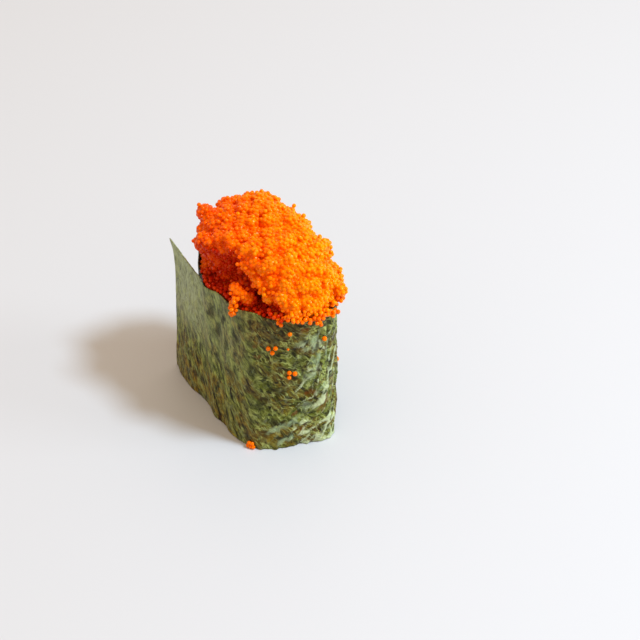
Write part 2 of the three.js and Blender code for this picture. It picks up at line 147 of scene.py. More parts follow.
# Dark patches of the sheet; the two long upright ones at 288 and 289 paint the shade down
# the long fold.
DARK_PATCHES = [
    (250, 32.5, 1.8, 1.2, 90), (263, 29, 1.8, 0.8, 90), (263.5, 24.7, 1.8, 1.0, 60),
    (232, 22, 2.2, 1.4, 70), (247.5, 8.2, 1.8, 1.1, 0), (240, 14, 2.4, 1.3, 50),
    (254, 17, 1.6, 0.9, 30), (288, 31, 3.6, 0.6, 90), (289, 22, 4.0, 0.6, 88),
    (260, 36, 2.4, 1.2, 0), (244, 36.5, 2.0, 1.0, 0), (229, 35, 1.6, 1.0, 60),
    (178, 31.5, 2.6, 1.3, 80), (187, 27.5, 3.0, 1.4, 80), (197, 32, 2.4, 1.2, 60),
    (203, 25, 2.6, 1.2, 80), (215, 29.5, 2.8, 1.2, 115), (190, 19, 2.4, 1.0, 110),
    (208, 18.5, 2.0, 1.0, 120), (222, 33, 2.0, 1.3, 100),
]
# The wall's radius that turns a patch's direction to a place along the strip.
PATCH_RADIUS = 17.5
# Stretches of the strip: where each starts, over how much, where it ends, over how much.
CRUMPLED = (225, 25, 318, 20)
WET_LOOKING = (205, 45, 340, 40)
RIGHT_HALF = (252, 20, 330, 20)

# The heap of roe, measured from a middle just above the rim.
HEAP_MIDDLE = np.array([MIDDLE[0], 0.0, 39.0])
HEAP_RISE = 12.6
HEAP_DROP = 6.0
HEAP_SQUARENESS = 2.5
# Lumps and dips of the heap: direction, tilt from straight up, reach and spread.
HEAP_SWELLS = [
    (215, 88, 4.8, 7.0), (311, 90, 3.3, 15), (322, 75, -1.4, 12.5),
    (337, 68, 1.4, 9), (350, 60, -1.1, 11.5), (114, 67, 3.3, 8.5),
    (150, 66, 2.6, 13), (62, 60, 1.8, 28), (42, 60, -0.9, 11.5), (128, 52, -1.2, 8),
    (141, 78, -1.2, 9),
]
# Steep-sided hollows: direction, half width, tilt, half height and depth.
HEAP_HOLLOWS = [(199, 50, 88, 42, 5.4), (244, 15, 99, 19, 2.6)]
FULL_HOLLOW = 5.0
# Rounded mounds and small clumps all over it, and the mean of their pattern.
CLUMP_SIZE = 2.9
CLUMP_RELIEF = 1.1
MOUND_SIZE = 7.0
MOUND_RELIEF = 1.2
MEAN_LUMP = 0.55
LUMP_REACH = 0.8
# The roe inside the band, the core under the surface, and the gaps they keep to the nori.
ROE_FLOOR = 37.2
ROE_BOTTOM = 24.3
CORE_INSET = 2.3
CORE_GAP = 0.6
BED_GAP = 0.45
# Its sides are drawn in from this height over the rim, eased over the second.
CORE_DRAWN_IN = (1.3, 0.8)
BODY_VOXEL = 0.33
CORE_VOXEL = 0.31

# Clumps stuck to the core: how far apart, their radii, and how high their tops stand.
CLUMP_PITCH = 2.7
CLUMP_TRIES = 20000
CLUMP_RADII = (1.2, 1.9)
CLUMP_TOPS = (-1.2, 0.3)
# Clumps over the rim, then over the hollow: direction, height, how far proud and radius,
# with an allowance for their eggs.
DRIP_CLUMPS = [
    (205, 41.4, -2.2, 1.25), (210.5, 41.5, -2.0, 1.45), (216.5, 41.2, -2.0, 1.4),
    (222, 41.0, -2.1, 1.1), (212, 40.2, -1.8, 1.35), (213.5, 39.9, -0.9, 0.85),
    (212, 38.9, -2.7, 1.2),
    (214, 47.0, -5.3, 1.4), (222, 46.2, -5.3, 1.4), (230, 45.6, -4.8, 1.5),
    (236, 44.8, -3.9, 1.5), (242, 43.6, -3.5, 1.5), (247, 42.0, -3.5, 1.5),
]
DRIP_ALLOWANCE = 0.3

# The eggs. Their form has few faces, so it is a little larger than a round one.
EGG = 1.05
EGG_FORM = {"subdivisions": 2, "radius": 0.52}
BALL_FORM = {"subdivisions": 3, "radius": 0.5}
EGG_SQUASH = 0.09
EGG_SPACING = 0.74
EGG_SIZES = (0.95, 0.05)
# Bumps in the core, under the eggs that lie on it, as a share of an egg.
BUMP_SIZE = 0.7
# The eggs make three pieces, parted at these shares of them from below.
EGG_PIECES = ("roe_eggs_low", "roe_eggs_middle", "roe_eggs_top")
EGG_PARTINGS = [0.34, 0.67]
# Eggs side by side on the skin, and how far into their gap to the nori they may go.
EGG_PITCH = 0.79
SKIN_TRIES = 80000
SKIN_STRAY = 0.1
SKIN_BELOW_FLOOR = 0.6
EGG_BITE = 0.05
# Loose eggs dropped on the skin, which touch the eggs under them at the contact.
LOOSE_PITCH = 1.3
LOOSE_TRIES = 30000
LOOSE_SHARE = 0.22
LOOSE_TILT = 0.15
DROP_HEIGHT = 3
CONTACT = (0.74, 0.88)
# Strings of eggs that run over the rim: the points of each, as direction, height and how
# far proud, with the number of eggs and their stray.
EGG_STRINGS = [
    ([(210, 40.3, -1.4), (213, 40.1, -0.9), (216, 40.2, -1.2)], 14, 0.8),
    ([(213.5, 40.2, -0.6), (214, 39.5, 0.5), (214.8, 37.0, 0.95)], 50, 1.3),
    ([(251, 38.8, -1.6), (252, 39.3, -0.4), (253.0, 37.6, 0.9)], 40, 0.8),
    ([(264, 39.2, 0.3), (276, 39.1, 0.8), (278, 37.4, 0.95)], 70, 1.2),
    ([(279, 39.0, 0.8), (286, 38.8, 0.9), (292, 37.8, 0.95)], 80, 1.2),
    ([(298, 39.1, 0.6), (306, 38.9, 0.8), (312, 38.7, 1.0)], 70, 1.5),
]
# Eggs inside the wall, just below the rim, in rows that go inward.
RIM_EGG_ANGLES = (150, 300)
RIM_EGG_STEP = 3.4
RIM_EGG_ROWS = (0.95, 1.6, 2.3)
RIM_EGG_HEIGHTS = (37.7, 38.3)
RIM_EGG_TURN = 1.2
RIM_EGG_SHIFT = 0.2
RIM_EGG_BITE = 0.08
# Eggs heaped on the rim itself, along the near right side. They lie in small waves.
FRINGE_ANGLES = (246, 318)
FRINGE_HEIGHTS = (38.9, 40.4)
FRINGE_PROUD = (-1.5, 0.7)
FRINGE_COUNT = 260
FRINGE_WAVE = 0.4
FRINGE_WAVES_UP = 24
FRINGE_WAVES_OUT = 17
# Single eggs stuck to the nori: direction, height and size.
STRAY_EGGS = [
    (245.2, 30.1, 1.1), (250.2, 30.7, 1.1), (248.0, 29.2, 1.1),
    (259.2, 23.4, 1.05), (263.0, 22.9, 1.15), (259.0, 22.0, 1.0),
    (260.0, 35.1, 1.05), (282.8, 31.7, 1.2), (313.0, 16.4, 1.2), (258.8, 30.4, 0.6),
    (229.6, 0.56, 1.1), (231.4, 0.58, 1.15), (233.4, 0.55, 1.05),
    (230.4, 1.35, 1.1), (232.6, 1.4, 1.0),
]
STRAY_PROUD = 0.32

# The painted light and shade of an egg, from 0, dark red, to 1, bright orange. It is
# painted lighter the more it stands out of the eggs within reach, and towards the right and
# the near end.
SHADE_REACH = 2.0
SHADE_HEIGHT = 0.7
PLAIN_PAINTED_LIGHT = 0.55
CREST_PAINTED_LIGHT = 0.22
RIGHT_PAINTED_LIGHT = 0.26
FAR_PAINTED_LIGHT = -0.1
# Painted shade darkens the hollows up to a ragged edge, but not the clumps that hang there.
HOLLOW_PAINTED_SHADE = 0.05
HOLLOW_CREST_PAINTED_LIGHT = 0.16
RAGGED_SIZE = 3.6
RAGGED_EDGE = (0.18, 0.22)
CLUMP_EDGE = (0.4, 0.5)
# The painted light of the core and the strings, painted shade on the eggs at the rim, and
# how much eggs differ.
CORE_PAINTED_LIGHT = 0.12
STRING_PAINTED_LIGHT = 0.6
RIM_PAINTED_SHADE = 0.5
EGG_TONE_SCATTER = 0.08

# The rice fills the band up to the roe. Grains show on its underside, pressed flat.
RICE_TOP = 24.0
RICE_FLOOR = 0.9
RICE_CLEARANCE = 0.5
RICE_VOXEL = 0.35
GRAIN = (2.7, 6.0, 2.4)
GRAIN_PITCH = 2.9
ROW_PITCH = GRAIN_PITCH * 0.86
GRAIN_ROWS = range(-8, 9)
GRAIN_COLUMNS = range(-6, 7)
GRAIN_STRAY = 0.8
GRAIN_HEIGHTS = (0.5, 1.1)

# The camera, and the pixel where the point this high above the origin shows.
CAMERA_AZIMUTH = -27.6
CAMERA_ELEVATION = 40.5
PIXELS_PER_MM = 4.22
FOCAL_PIXELS = 2300.0
FRAME_PIXELS = 640.0
SENSOR = 36.0
AIM_HEIGHT = 25.0
AIM_PIXEL = (268.8, 314.3)
FLOOR_RADIUS = 3000


# ---- Form ----

def hill(distance, spread):
    """A bell of height 1 that fades over the spread."""
    return np.exp(-((distance / spread) ** 2))


def smooth(share):
    """An eased step from 0 to 1."""
    share = np.clip(share, 0, 1)
    return share * share * (3 - 2 * share)


def past(value, start, ease):
    """0 up to the start, then eased to 1 over a stretch."""
    return smooth((value - start) / ease)


def along_stretch(value, start, ease_in, end, ease_out):
    """1 in a stretch, eased to 0 beyond its start and its end."""
    return past(value, start, ease_in) * (1 - past(value, end, ease_out))


def between(low, high, share):
    return low + (high - low) * share


def turn(start, end):
    """The turn from one direction to another, between -180 and 180."""
    return (end - start + 180) % 360 - 180


def heading(points):
    """The direction of each point from the origin."""
    return np.arctan2(points[:, 1], points[:, 0]) / DEG


def band_radius(angle, level):
    """Outer face of the band, without the free end."""
    across = np.abs(np.cos(angle * DEG)) / HALF_WIDTH
    along = np.abs(np.sin(angle * DEG)) / HALF_LENGTH
    power = np.where(np.sin(angle * DEG) > 0, FAR_SQUARENESS, NEAR_SQUARENESS)
    radius = (across**power + along**power) ** (-1 / power)
    for at, (foot, rim) in WALL_SWELLS.items():
        radius = radius + between(foot, rim, level) * hill(turn(at, angle), WALL_SPREAD)
    ripple = np.sin((RIPPLES_ROUND * angle + RIPPLE_TWIST * level) * DEG)
    return radius + WALL_RIPPLE * ripple


def flap_radius(angle, level):
    """The flat run of the free end, which stands off the oval to the far left."""
    bulge = FLAP_FOOT_BULGE * hill(angle - FLAP_BULGE_AT, FLAP_BULGE_SPREAD)
    hollow = FLAP_HOLLOW * hill(angle - FREE_END, FLAP_HOLLOW_SPREAD)
    reach = FLAP_REACH + (FLAP_FOOT_LEAN + bulge) * (1 - level)
    return (reach - hollow * np.sin(np.pi * level)) / np.abs(np.cos(angle * DEG))


def strip_radius(angle, level):
    """Outer face of the strip, its angle counted on from the free to the inner end."""
    oval = band_radius(angle, level) - LAP_STEP * past(angle, TUCK_START, TUCK_TURN)
    merged = past(angle, MERGE_START, MERGE_END - MERGE_START)
    flap = flap_radius(np.minimum(angle, MERGE_END), level)
    return between(flap, oval, merged)


def inner_radius(angle, level):
    """Inner face of the band, which is two laps deep except on the right side."""
    azimuth = angle % 360
    under = past(azimuth, TUCK_START - 360, TUCK_TURN)
    ended = smooth((azimuth - (INNER_END - 360) - INNER_END_GAP) / INNER_END_EASE)
    return band_radius(angle, level) - LAP_DEPTH - LAP_STEP * under * (1 - ended)


def on_circle(angle, radius, height):
    """Points round the middle of the band."""
    flat = [radius * np.cos(angle * DEG), radius * np.sin(angle * DEG)]
    return np.stack([*flat, height + 0 * angle], -1) + MIDDLE


def round_places(points):
    """The direction, the distance from the middle and the level of each point."""
    offset = points - MIDDLE
    flat = np.hypot(offset[:, 0], offset[:, 1])
    return heading(offset), flat, np.clip(points[:, 2] / BAND_HEIGHT, 0, 1)


def beside_wall(angle, height, proud):
    """A point that stands out of the wall of the band by a given amount."""
    angle = np.asarray(angle, float)
    level = np.minimum(1, np.asarray(height, float) / BAND_HEIGHT)
    return on_circle(angle, band_radius(angle, level) + proud, height)


def path_lengths(points):
    """How far along a path each of its points is."""
    steps = np.linalg.norm(np.diff(points, axis=0), axis=1)
    return np.concatenate([[0], np.cumsum(steps)])


STRIP_ANGLES = np.arange(FREE_END, INNER_END + 1.0)
STRIP_LENGTHS = path_lengths(on_circle(STRIP_ANGLES, strip_radius(STRIP_ANGLES, 0.5), 0.0))


def strip_angle(length, level):
    """How far round the strip is, a length from its free end. Its top corner is a tip."""
    from_rim = (1 - level) * BAND_HEIGHT
    cut_back = TIP_LENGTH * (1 - np.exp(-from_rim / TIP_HEIGHT))
    shifted = length + cut_back * np.maximum(0, 1 - length / TIP_ROOT)
    return np.interp(shifted, STRIP_LENGTHS, STRIP_ANGLES)


def strip_point(length, level):
    angle = strip_angle(length, level)
    wave = np.sin((RIM_WAVES_ROUND * angle + RIM_WAVE_START) * DEG)
    rim = BAND_HEIGHT + RIM_WAVE * wave - LAP_DROP * past(angle, TUCK_START, TUCK_TURN)
    return on_circle(angle, strip_radius(angle, level), level * rim)


def scatter(i, j, k):
    """A fixed value between 0 and 1 for each cell of space."""
    value = np.sin(i * 127.1 + j * 311.7 + k * 74.7) * 43758.5453
    return value - np.floor(value)


def lumps(points, size):
    """Rounded lumps that fill space: 1 in the middle of a lump, 0 between them."""
    x, y, z = (points / size).T
    nearest = np.full(len(points), np.inf)
    for step in np.ndindex(3, 3, 3):
        i, j, k = (np.floor(v) + s - 1 for v, s in zip((x, y, z), step))
        apart = (i + scatter(i, j, k) - x) ** 2
        apart = apart + (j + scatter(i + 19, j, k) - y) ** 2
        apart = apart + (k + scatter(i, j + 47, k) - z) ** 2
        nearest = np.minimum(nearest, apart)
    return np.maximum(0, 1 - nearest / LUMP_REACH)


def direction(angle, tilt):
    """A unit step that way, its tilt counted from straight up."""
    flat = math.sin(tilt * DEG)
    return np.array([
        flat * math.cos(angle * DEG), flat * math.sin(angle * DEG), math.cos(tilt * DEG)])


def hollow_share(toward):
    """How deep the heap's hollows are in each direction."""
    angle = heading(toward)
    tilt = np.arccos(np.clip(toward[:, 2], -1, 1)) / DEG
    share = np.zeros(len(toward))
    for at, half_width, low, half_height, depth in HEAP_HOLLOWS:
        reach = (turn(at, angle) / half_width) ** 2 + ((tilt - low) / half_height) ** 2
        share = share + depth * hill(reach**1.5, 1)
    return share


def heap_radius(toward):
    """How far the heap reaches from its middle in each direction."""
    angle = heading(toward)
    flat = np.hypot(toward[:, 0], toward[:, 1])
    height = np.where(toward[:, 2] > 0, HEAP_RISE, HEAP_DROP)
    power = HEAP_SQUARENESS
    upright = np.abs(toward[:, 2] / height) ** power
    radius = (upright + (flat / band_radius(angle, 1.0)) ** power) ** (-1 / power)
    for at, tilt, reach, spread in HEAP_SWELLS:
        apart = np.arccos(np.clip(toward @ direction(at, tilt), -1, 1)) / DEG
        radius = radius + reach * hill(apart, spread)
    radius = radius - hollow_share(toward)
    points = toward * radius[:, None]
    mounds = MOUND_RELIEF * (lumps(points, MOUND_SIZE) - MEAN_LUMP)
    return radius + mounds + CLUMP_RELIEF * (lumps(points, CLUMP_SIZE) - MEAN_LUMP)


# ---- Meshes ----

def corners_of(bm):
    return np.array([v.co for v in bm.verts])


def place_corners(bm, points):
    for corner, point in zip(bm.verts, points):
        corner.co = point


def new_object(name, mesh):
    piece = bpy.data.objects.new(name, mesh)
    bpy.context.scene.collection.objects.link(piece)
    return piece


def mesh_from(bm, name):
    bmesh.ops.remove_doubles(bm, verts=bm.verts, dist=1e-5)
    bmesh.ops.recalc_face_normals(bm, faces=bm.faces)
    bmesh.ops.scale(bm, vec=(MM, MM, MM), verts=bm.verts)
    mesh = bpy.data.meshes.new(name)
    bm.to_mesh(mesh)
    bm.free()
    return mesh


def wall_lining(name, floor, top, segments, gap):
    """A closed body that fills the band between two heights, with a gap to the nori."""
    bm = bmesh.new()
    bmesh.ops.create_cone(
        bm, cap_ends=True, segments=segments, radius1=1, radius2=1, depth=top - floor)
    flat = corners_of(bm)
    height = flat[:, 2] + (top + floor) / 2
    angle = heading(flat)
    radius = inner_radius(angle, height / BAND_HEIGHT) - gap
    place_corners(bm, on_circle(angle, radius, height))
    return mesh_from(bm, name)


def random_turns(count, rng):
    """Rotation matrices that turn a form every way alike."""
    w, x, y, z = rng.normal(size=(4, count))
    length = np.sqrt(w * w + x * x + y * y + z * z)
    w, x, y, z = w / length, x / length, y / length, z / length
    return np.stack([
        1 - 2 * (y * y + z * z), 2 * (x * y - w * z), 2 * (x * z + w * y),
        2 * (x * y + w * z), 1 - 2 * (x * x + z * z), 2 * (y * z - w * x),
        2 * (x * z - w * y), 2 * (y * z + w * x), 1 - 2 * (x * x + y * y),
    ], -1).reshape(count, 3, 3)


def joined_copies(name, form, places, sizes, rng):
    """A mesh with a ball at each place, turned and squashed at random."""
    ball = bmesh.new()
    bmesh.ops.create_icosphere(ball, **form)
    corners = corners_of(ball)
    faces = np.array([[v.index for v in face.verts] for face in ball.faces])
    ball.free()
    count = len(places)
    turns = random_turns(count, rng)
    squash = 1 + EGG_SQUASH * (rng.random((count, 1, 3)) - 0.5)
    copies = np.einsum("kij,knj->kni", turns, corners[None] * squash)
    points = places[:, None] + copies * np.reshape(sizes, (count, 1, 1))
    points = points.reshape(-1, 3) * MM
    firsts = len(corners) * np.arange(count)
    loops = (faces[None] + firsts[:, None, None]).reshape(-1, 3)
    mesh = bpy.data.meshes.new(name)
    mesh.vertices.add(len(points))
    mesh.vertices.foreach_set("co", points.astype(np.float32).ravel())
    mesh.loops.add(loops.size)
    mesh.loops.foreach_set("vertex_index", loops.astype(np.int32).ravel())
    mesh.polygons.add(len(loops))
    starts = np.arange(0, loops.size, 3, dtype=np.int32)
    mesh.polygons.foreach_set("loop_start", starts)
    mesh.update(calc_edges=True)
    return mesh


def places_of(mesh):
    """The corners of a mesh, in metres."""
    places = np.empty(len(mesh.vertices) * 3)
    mesh.vertices.foreach_get("co", places)
    return places.reshape(-1, 3)


def add_values(mesh, name, values):
    """A number for each corner of a mesh, or each copy in it, for its material."""
    spread = np.repeat(values, len(mesh.vertices) // len(values))
    layer = mesh.attributes.new(name, "FLOAT", "POINT")
    layer.data.foreach_set("value", spread.astype(np.float32))


def dress(mesh, name, node, material):
    """Makes a mesh a piece of the sushi that stands for a CAD node."""
    mesh.materials.append(material)
    mesh.shade_smooth()
    piece = new_object(name, mesh)
    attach(piece, "root")
    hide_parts(node)
    return piece


def fused(name, meshes, voxel):
    """One closed skin round several overlapping meshes."""
    bm = bmesh.new()
    for mesh in meshes:
        bm.from_mesh(mesh)
    joined = bpy.data.meshes.new(name)
    bm.to_mesh(joined)
    bm.free()
    piece = new_object(name, joined)
    remesh = piece.modifiers.new("skin", "REMESH")
    remesh.mode = "VOXEL"
    remesh.voxel_size = voxel * MM
    remesh.adaptivity = 0
    graph = bpy.context.evaluated_depsgraph_get()
    mesh = bpy.data.meshes.new_from_object(piece.evaluated_get(graph))
    bpy.data.objects.remove(piece)
    return mesh


# ---- Shaders ----

class Wire:
    """A shader socket that adds, subtracts and scales like a number."""

    def __init__(self, tree, socket):
        self.tree = tree
        self.socket = socket

    def math(self, operation, *values):
        settings = {"operation": operation}
        return add_node(self.tree, "Math", settings, dict(enumerate(values)))

    def __add__(self, other):
        return self.math("ADD", self, other)

    __radd__ = __add__

    def __sub__(self, other):
        return self.math("SUBTRACT", self, other)

    def __rsub__(self, other):
        return self.math("SUBTRACT", other, self)

    def __mul__(self, other):
        return self.math("MULTIPLY", self, other)

    def __abs__(self):
        return self.math("ABSOLUTE", self)

    def within(self):
        """The same value, kept between 0 and 1."""
        return add_node(self.tree, "Clamp", {}, {"Value": self})

    def rise(self, low, high):
        """0 below low and 1 above high, eased between them."""
        settings = {"interpolation_type": "SMOOTHSTEP"}
        inputs = {"Value": self, "From Min": low, "From Max": high}
        return add_node(self.tree, "MapRange", settings, inputs)

    def stronger(self, times, middle=0.5):
        """The same pattern with more contrast, or less, round a middle value."""
        return (self - 0.5) * times + middle


def add_node(tree, kind, settings, inputs, output=0):
    """Adds a shader node: its settings first, then the values or links of its sockets."""
    made = tree.nodes.new("ShaderNode" + kind)
    for name, value in settings.items():
        if name == "stops":
            ramp = made.color_ramp
            while len(ramp.elements) < len(value):
                ramp.elements.new(0.5)
            for element, (position, colour) in zip(ramp.elements, value):
                element.position = position
                element.color = (*colour, 1)
        else:
            setattr(made, name, value)
    for name, value in inputs.items():
        if isinstance(value, Wire):
            tree.links.new(value.socket, made.inputs[name])
        else:
            made.inputs[name].default_value = value
    return Wire(tree, made.outputs[output])


class Finish:
    """A material, with short calls for the patterns that its surface is made of."""

    def __init__(self, name, **constants):
        self.material = bpy.data.materials.new(name)
        self.material.use_nodes = True
        self.tree = self.material.node_tree
        self.shader = self.tree.nodes["Principled BSDF"]
        for socket, value in constants.items():
            self.shader.inputs[socket.replace("_", " ")].default_value = value

    def node(self, kind, settings=None, inputs=None, output=0):
        return add_node(self.tree, kind, settings or {}, inputs or {}, output)

    def value(self, name):
        return self.node("Attribute", {"attribute_name": name}, output=2)

    def object_place(self):
        return self.node("TexCoord", output=3)

    def stretched(self, place, scale):
        return self.node("VectorMath", {"operation": "MULTIPLY"}, {0: place, 1: scale})

    def moved(self, place, by):
        return self.node("VectorMath", {"operation": "ADD"}, {0: place, 1: by})

    def grain(self, place, scale, detail=2.0, roughness=0.5, warp=0.0):
        """Noise. A scale of three numbers stretches it."""
        if isinstance(scale, tuple):
            place, scale = self.stretched(place, scale), 1.0
        inputs = {
            "Vector": place, "Scale": scale, "Detail": detail, "Roughness": roughness,
            "Distortion": warp}
        return self.node("TexNoise", {}, inputs)

    def blend(self, share, first, second):
        """A colour between two colours."""
        colours = {6: first, 7: second}
        for key, colour in colours.items():
            if not isinstance(colour, Wire):
                colours[key] = (*colour, 1)
        return self.node("Mix", {"data_type": "RGBA"}, {0: share, **colours}, output=2)

    def feed(self, socket, wire):
        self.tree.links.new(wire.socket, self.shader.inputs[socket])

    def bump(self, height, depth):
        """Fine relief, with its full depth in millimetres."""
        inputs = {"Height": height, "Strength": 1.0, "Distance": depth * MM}
        self.feed("Normal", self.node("Bump", {}, inputs))


def tone(*channels):
    """A colour from its red, green and blue as a screen shows them, 0 to 255."""
    return tuple((channel / 255) ** 2.2 for channel in channels)


# Roe colours from painted shade, dark red, through the middle, to painted light, bright
# orange.
SHADED_ROE = (0.55, 0.015, 0.0)
MIDDLE_ROE = (0.98, 0.12, 0.0)
LIT_ROE = (1.0, 0.28, 0.0)

GREENS = [
    (0.34, tone(28, 32, 6)), (0.46, tone(70, 78, 20)), (0.54, tone(102, 112, 40)),
    (0.68, tone(158, 170, 84))]
BROWNS = [
    (0.34, tone(32, 22, 0)), (0.46, tone(76, 54, 2)), (0.54, tone(108, 82, 8)),
    (0.68, tone(152, 128, 34))]
MOTTLED = tone(34, 34, 8)
# A painted sheen: the reflection of the pale floor, high on the left face.
PAINTED_SHEEN = tone(170, 182, 142)
FIBROUS = tone(176, 188, 108)
SPOTTED = tone(28, 26, 4)
# Dark patches of the sheet, and painted shade down the long fold at the corner.
DARK_PATCH_AND_FOLD_SHADE = tone(30, 28, 6)
# A painted sheen of the wet places.
PAINTED_WET_SHEEN = tone(158, 182, 134)
# Painted shade in the valleys beside the near face's crests.
PAINTED_CREASE_SHADE = tone(44, 32, 4)
RUSTY = tone(106, 62, 4)
# A painted glint on the crests of the wet creases.
PAINTED_GLINT = tone(204, 220, 166)
# Painted shade on the inner lap, seen only in the gap under the outer lap.
TUCKED_LAP_SHADE = tone(22, 24, 8)


def roe_finish():
    """Wet, see-through eggs: dark red in painted shade, bright orange in painted light,
    with a sharp small shine.
    """
    finish = Finish(
        "wet orange roe", Roughness=0.14, Specular_IOR_Level=0.22,
        Specular_Tint=(1.0, 0.62, 0.3, 1.0),
        Subsurface_Weight=0.4, Subsurface_Radius=(1.0, 0.5, 0.2),
        Subsurface_Scale=0.0004)
    place = finish.object_place()
    patches = finish.grain(place, 260)
    # The share of painted light, with a little random tone.
    share = (finish.value("glow") + (patches - 0.5) * 0.3).within()
    deep = finish.blend(share.rise(0.0, 0.45), SHADED_ROE, MIDDLE_ROE)
    finish.feed("Base Color", finish.blend(share.rise(0.35, 0.95), deep, LIT_ROE))
    finish.bump(finish.grain(place, 2600, detail=1), 0.03)
    return finish.material


def nori_finish():
    """Pressed seaweed gone moist: green over brown, fibrous, with wet wrinkles, and with
    painted sheen, glints, warm reflection and shade.
    """
    finish = Finish("moist nori", Specular_IOR_Level=0.15, Coat_Roughness=0.15)
    grain, value = finish.grain, finish.value
    near = value("near")
    smoothed = value("smoothed")
    # Places on the strip, bent by a slow swirl: a little, much, and leaning.
    strip = finish.node("UVMap", {"uv_map": "fibre"})
    swirl = finish.node("TexNoise", {}, {"Vector": strip, "Scale": 0.2}, output=1)
    drift = finish.moved(strip, finish.stretched(swirl, (1.6, 1.6, 0)))
    curled = finish.moved(strip, finish.stretched(swirl, (4.0, 4.0, 0)))
    leaning = finish.node("Mapping", {}, {"Vector": drift, "Rotation": (0, 0, -42 * DEG)})

    # The weave: streaks on the left, blots on the near face, and fine grain at the back.
    streaks = grain(drift, (0.58, 0.34, 1), 5, 0.74, warp=0.6)
    blots = grain(curled, (0.55, 0.45, 1), 4, 0.62)
    even = grain(drift, (1.5, 0.8, 1), 5, 0.7, warp=0.4)
    dry = streaks.stronger(1.6, 0.49) * (1 - smoothed) + even.stronger(1.3) * smoothed
    weave = dry * (1 - near * 0.85) + blots.stronger(0.8) * near * 0.85
    hue = grain(finish.moved(strip, (11.0, 5.0, 0.0)), 0.17, 3, 0.55)
    mottle = grain(drift, (1.3, 0.7, 1), 4, 0.6)
    shreds = grain(leaning, (0.30, 0.95, 1), 3, 0.5, warp=0.6)

    # Pale fibres: long strands on the left, curls on the near face.
    strands = grain(drift, (0.8, 0.2, 1), warp=0.5)
    strand_lines = (1 - abs(strands - 0.5) * 9).within() * (1 - near * 0.8)
    curls = grain(curled, (0.62, 0.5, 1), warp=0.4)
    curl_lines = (1 - abs(curls - 0.5) * 16).within() * near
    sparse = grain(finish.moved(strip, (47.0, 3.0, 0.0)), 0.35).rise(0.42, 0.6)
    lines = (strand_lines + curl_lines) * (0.3 + sparse * 0.7)
    holes = grain(finish.moved(curled, (31.0, 7.0, 0.0)), 0.6)

    # Marked places, their edges torn by the shreds or the blots. Some are painted light and
    # shade: sheen, glints, a warm reflection, and shade in the valleys and the tucked lap.
    torn = shreds - 0.5
    # Brown from the slow hue, plus a painted warm reflection low on the left and browner
    # under the rim.
    brown_and_warm_reflection = hue.rise(0.42, 0.58) * (0.8 - smoothed * 0.35) + value("warm") * 0.7
    sheen_streaks = streaks.rise(0.36, 0.56) * 0.55 + blots.rise(0.38, 0.56) * 0.3 + 0.15
    # Painted wet sheen, its edges torn.
    wet_sheen_share = (value("film") + torn * 2.4).rise(0.1, 1.0)
    # Painted glints on the crests, which are glossier too.
    glint = (value("crest") + torn * 2.0).rise(0.35, 1.0)
    layers = [
        (mottle.rise(0.46, 0.66) * 0.5, MOTTLED),
        # painted sheen high on the left face, broken up by its streaks
        (value("pale") * sheen_streaks, PAINTED_SHEEN),
        (lines * (0.6 + near * 0.2), FIBROUS),
        (holes.rise(0.54, 0.64) * (0.3 + near * 0.5), SPOTTED),
        # dark patches, and painted shade down the long fold
        ((value("dark") + (blots - 0.5) * 2.4).rise(0.2, 0.95) * 0.72, DARK_PATCH_AND_FOLD_SHADE),
        (wet_sheen_share * 0.6, PAINTED_WET_SHEEN),
        # painted shade in the valleys of the creases
        ((value("valley") + torn * 2.0).rise(0.25, 0.9) * 0.6, PAINTED_CREASE_SHADE),
        ((value("rust") + torn * 2.4).rise(0.3, 0.9) * 0.7, RUSTY),
        (glint * 0.7, PAINTED_GLINT),
        # painted shade on the tucked inner lap
        (value("tucked") * 0.85, TUCKED_LAP_SHADE),
    ]
    green = finish.node("ValToRGB", {"stops": GREENS}, {"Fac": weave})
    brown = finish.node("ValToRGB", {"stops": BROWNS}, {"Fac": weave})
    colour = finish.blend(brown_and_warm_reflection.within(), green, brown)
    for share, over in layers:
        colour = finish.blend(share, colour, over)
    finish.feed("Base Color", colour)
    gloss = (glint * 0.8 + wet_sheen_share * 0.5).within()
    finish.feed("Roughness", 0.42 - gloss * 0.2 + (mottle - 0.5) * 0.1)
    finish.feed("Coat Weight", gloss)
    folds = shreds * (value("wet") + value("film")).within()
    finish.bump(lines * 0.4 + weave * 1.2 + mottle * 0.2 + folds * 2.0, 0.24)
    return finish.material


def rice_finish():
    """Cooked rice: milky, a little see-through, softly shiny."""
    finish = Finish(
        "cooked rice", IOR=1.4, Subsurface_Weight=0.4, Subsurface_Scale=0.002,
        Subsurface_Radius=(1.0, 0.8, 0.55))
    place = finish.object_place()
    cloud = finish.grain(place, 320, detail=3)
    finish.feed("Base Color", finish.blend(cloud, (0.80, 0.75, 0.62), (0.90, 0.88, 0.82)))
    finish.feed("Roughness", 0.28 + cloud * 0.25)
    finish.bump(finish.grain(place, 1400), 0.06)
    return finish.material


# ---- Nori ----

def field(x, y, seed):
    """Smooth noise between -1 and 1 at each point of a plane."""
    return np.array([noise.noise(Vector((*point, seed))) for point in zip(x, y)])


def relief(length, height, rows):
    """The sum of several rows of noise on the strip."""
    return sum(
        depth * field(length / along, height / up, seed) for depth, along, up, seed in rows)


def ridges(length, height, rows):
    """The sum of several rows of narrow crests along winding lines."""
    total = 0
    for crest, along, across, seed, width in rows:
        line = np.abs(field(length / along, height / across, seed)) / width
        total = total + crest * np.clip(1 - line, 0, 1) ** 2
    return total


def along_and_across(length, height, lean):
    """Places on the strip, seen in a frame whose first axis leans up."""
    along = length * np.cos(lean * DEG) + height * np.sin(lean * DEG)
    across = height * np.cos(lean * DEG) - length * np.sin(lean * DEG)
    return along, across


